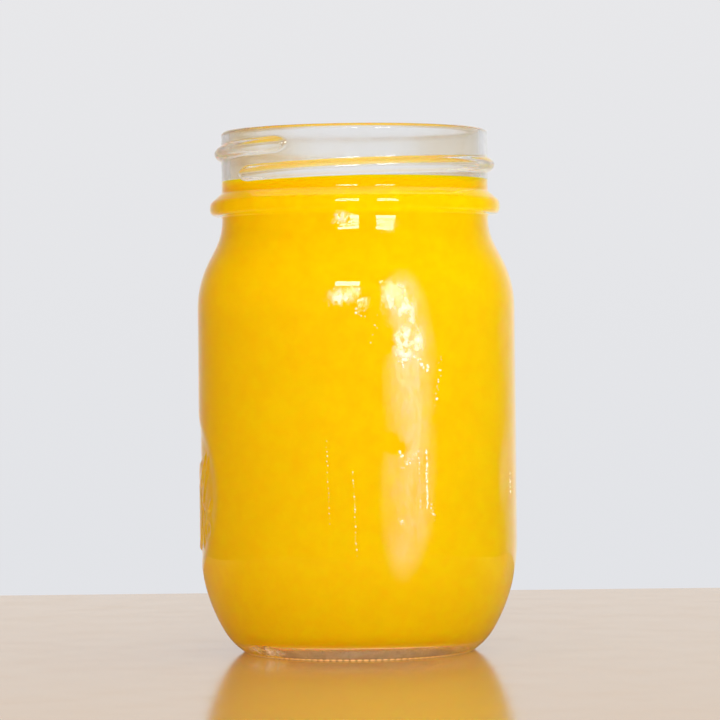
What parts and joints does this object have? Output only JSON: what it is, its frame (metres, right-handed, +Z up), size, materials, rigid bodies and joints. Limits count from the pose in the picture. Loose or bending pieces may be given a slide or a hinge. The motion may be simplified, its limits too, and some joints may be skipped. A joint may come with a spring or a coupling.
{
  "type": "glass of orange juice",
  "caption": "Clear pint-size screw-top preserving jar used as a drinking glass, without a lid, filled with opaque orange juice to just below the mouth.",
  "frame": {"origin": "centre of the ring that the jar stands on, in the plane of the table", "axes": "+Z up along the jar's axis, -Y towards the viewer of the picture, -X to the picture's left"},
  "size_m": [0.0782, 0.0782, 0.128],
  "materials": {
    "clear_glass": "smooth moulded clear glass",
    "orange_juice": "opaque yellow-orange liquid, wet gloss on top"
  },
  "bodies": {
    "root": {"glass_jar": "clear_glass", "orange_juice": "orange_juice"}
  },
  "joints": []
}
